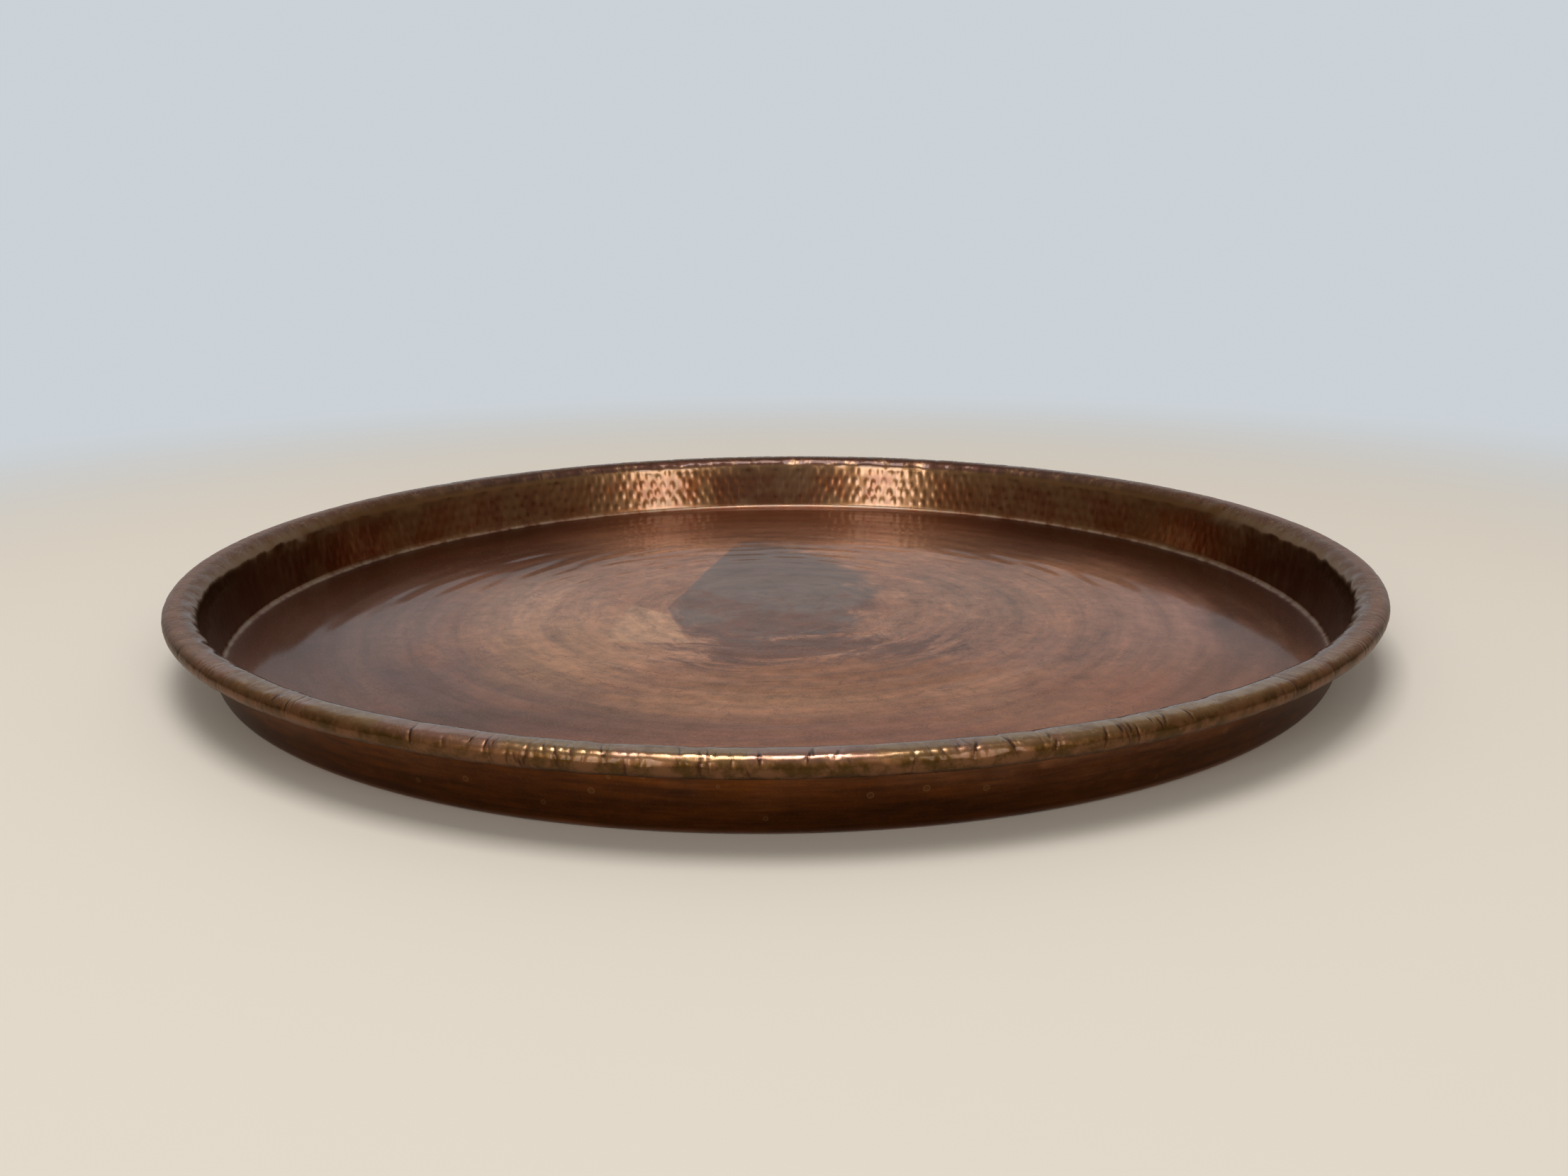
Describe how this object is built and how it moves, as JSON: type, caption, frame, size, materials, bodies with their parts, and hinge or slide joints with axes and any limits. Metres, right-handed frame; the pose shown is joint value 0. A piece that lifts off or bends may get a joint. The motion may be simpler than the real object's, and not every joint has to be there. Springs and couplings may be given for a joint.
{
  "type": "serving tray",
  "caption": "Large round hammered copper tray with a flat floor, a low flared wall and a rolled, wired rim, for carrying or displaying food and tableware.",
  "frame": {"origin": "centre of the flat underside, in the plane the tray rests on", "axes": "+Z is the tray's axis of revolution and points up, out of the open side; the cut ends of the rim wire meet at +X"},
  "size_m": [0.72, 0.72, 0.044],
  "materials": {
    "copper": null,
    "iron": "dark drawn iron wire"
  },
  "bodies": {
    "root": {"tray_sheet": "copper", "rim_wire": "iron"}
  },
  "joints": []
}
